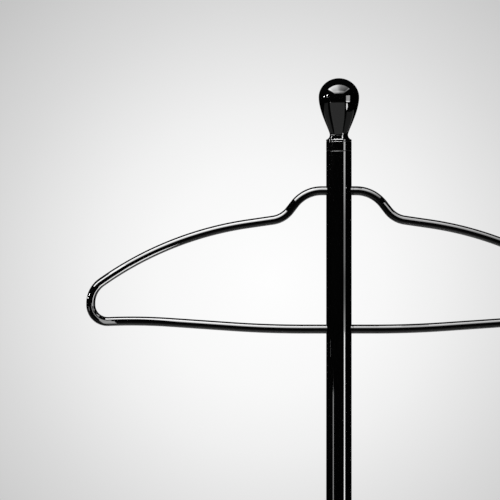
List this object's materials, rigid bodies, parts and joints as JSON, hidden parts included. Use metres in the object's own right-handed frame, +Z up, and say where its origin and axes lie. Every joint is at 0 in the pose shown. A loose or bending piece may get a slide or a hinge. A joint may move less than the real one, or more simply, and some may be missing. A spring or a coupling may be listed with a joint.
{
  "type": "valet stand",
  "caption": "Free-standing valet stand with a round weighted base, slim gloss-black post, bent-rod coat hanger with trouser bar, and a turned pear knob on top.",
  "frame": {"origin": "on the floor, under the post's axis", "axes": "+Z up along the post, +X to the right along the hanger as seen from the front, +Y to the back, where the grub screws are"},
  "size_m": [0.44, 0.3, 1.1],
  "materials": {
    "gloss_black_lacquer": "high gloss black lacquer on steel",
    "gloss_black_knob": "polished moulded black",
    "brass": "machined",
    "zinc_plated_steel": "bright zinc plate",
    "blackened_steel": "oiled black oxide",
    "grey_iron": "as cast, primed",
    "satin_black_plate": "satin black powder coat",
    "black_rubber": "matte"
  },
  "bodies": {
    "root": {"top_ring": "gloss_black_lacquer", "upper_post": "gloss_black_lacquer", "lower_post": "gloss_black_lacquer", "left_hanger_arm": "gloss_black_lacquer", "right_hanger_arm": "gloss_black_lacquer", "post_rosette": "gloss_black_lacquer", "base_cover": "gloss_black_lacquer", "finial_knob": "gloss_black_knob", "knob_insert": "brass", "finial_stud": "zinc_plated_steel", "upper_cross_block": "zinc_plated_steel", "lower_cross_block": "zinc_plated_steel", "post_joiner": "zinc_plated_steel", "foot_plug": "zinc_plated_steel", "base_bolt": "zinc_plated_steel", "base_spring_washer": "zinc_plated_steel", "base_flat_washer": "zinc_plated_steel", "underplate_screws": "zinc_plated_steel", "hanger_grub_screws": "blackened_steel", "joiner_grub_screws": "blackened_steel", "base_weight": "grey_iron", "base_underplate": "satin_black_plate", "base_pads": "black_rubber"}
  },
  "joints": []
}
